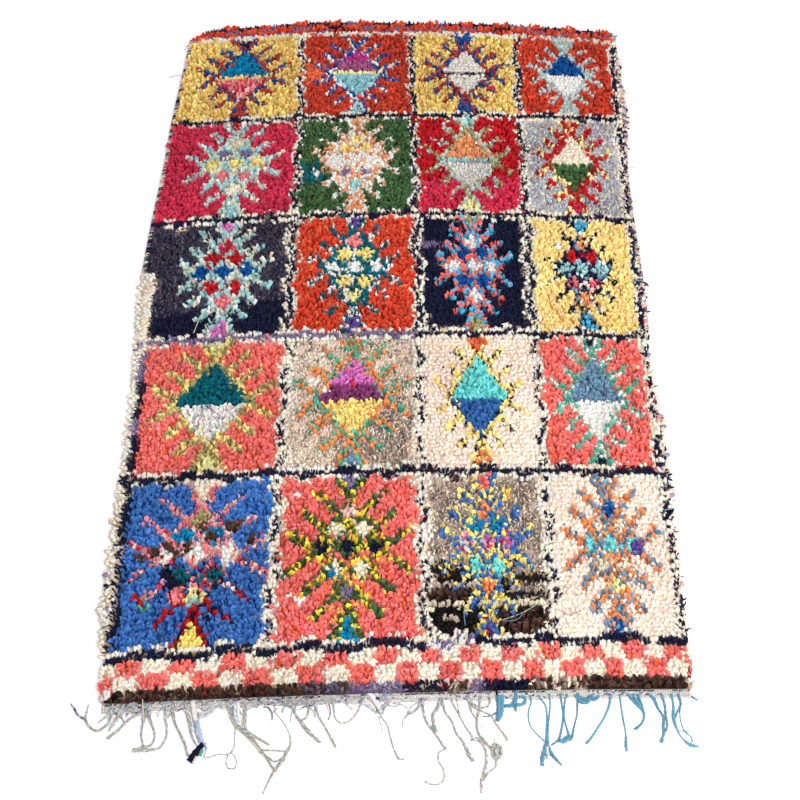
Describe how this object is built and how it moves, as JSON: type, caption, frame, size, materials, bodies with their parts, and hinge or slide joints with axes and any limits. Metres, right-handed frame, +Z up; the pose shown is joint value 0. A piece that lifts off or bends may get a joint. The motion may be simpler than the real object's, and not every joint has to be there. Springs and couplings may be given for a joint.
{
  "type": "boucherouite rug",
  "caption": "Hand-knotted rag and wool rug lying flat, with a compartment pattern of medallions and a loose warp fringe at one end.",
  "frame": {"origin": "on the flat underside, in the middle of the knotted field, on the floor plane", "axes": "+Z up out of the pile, +Y along the length away from the fringe, +X to the right seen from the fringe end"},
  "size_m": [1.5687, 2.6131, 0.0195],
  "materials": {
    "knotted_pile": "cut pile of cotton rag and wool knots in many colours, matt",
    "warp_yarn": "twisted wool and cotton yarn, matt"
  },
  "bodies": {
    "root": {"pile_field": "knotted_pile", "end_fringe": "warp_yarn"}
  },
  "joints": []
}
